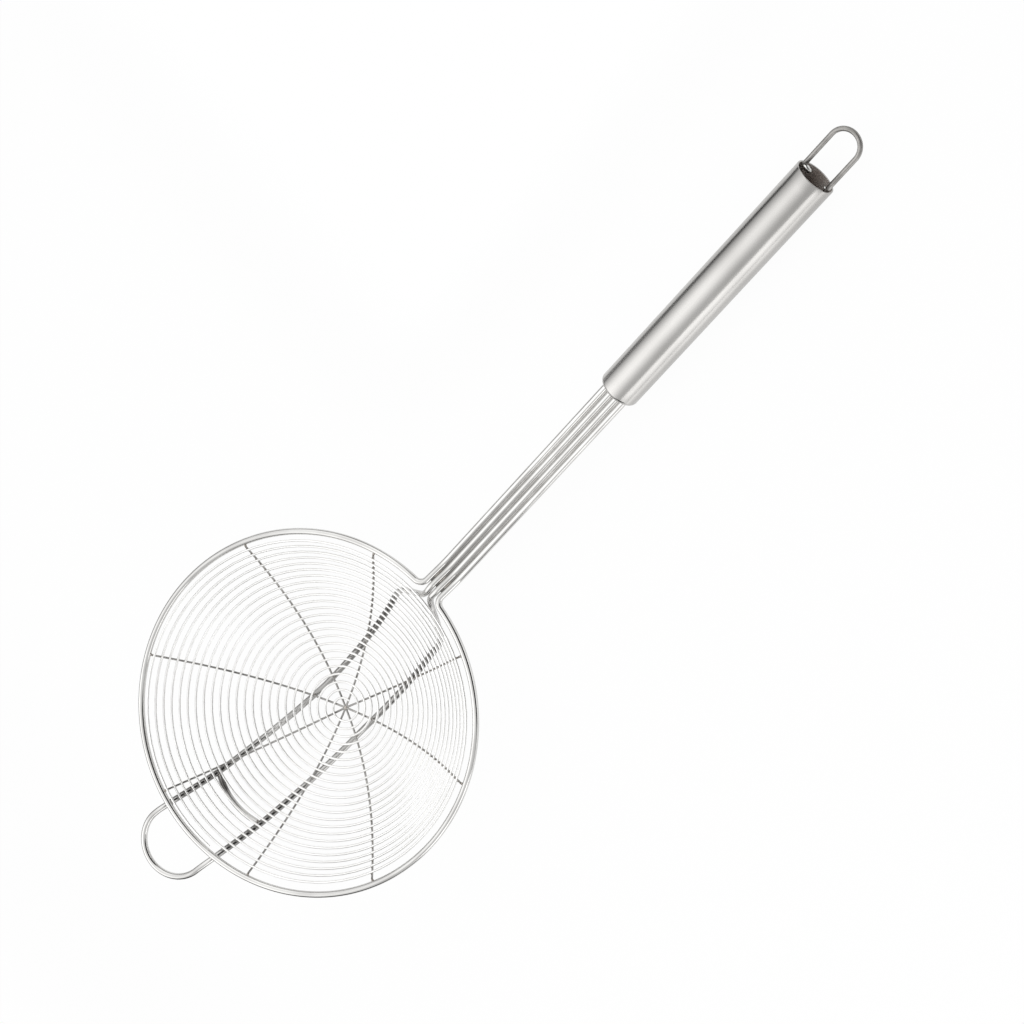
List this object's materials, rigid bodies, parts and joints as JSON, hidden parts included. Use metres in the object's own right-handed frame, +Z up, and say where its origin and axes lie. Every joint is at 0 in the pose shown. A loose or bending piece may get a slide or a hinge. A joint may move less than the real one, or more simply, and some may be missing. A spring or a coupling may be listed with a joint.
{
  "type": "wire skimmer",
  "caption": "Bowl-shaped basket wound from thin steel wire on ribs, with a thick wire rim, front hook, flat wire stem, tube handle and hanging loop, for lifting food out of hot liquid.",
  "frame": {"origin": "middle of the skimmer's box, on the table that it lies on", "axes": "+X along the handle from the basket to the hanging loop, +Z up from the table"},
  "size_m": [0.3916, 0.1398, 0.0646],
  "materials": {
    "polished_wire": "bright drawn stainless steel wire",
    "satin_tube": "satin stainless steel tube, brushed along its length"
  },
  "bodies": {
    "root": {"rim_wire": "polished_wire", "cradle_wire": "polished_wire", "cross_brace": "polished_wire", "spiral_wire": "polished_wire", "rib_1": "polished_wire", "rib_2": "polished_wire", "rib_3": "polished_wire", "rib_4": "polished_wire", "rib_5": "polished_wire", "rib_6": "polished_wire", "rib_7": "polished_wire", "rib_8": "polished_wire", "hanging_loop": "polished_wire", "handle_tube": "satin_tube"}
  },
  "joints": []
}
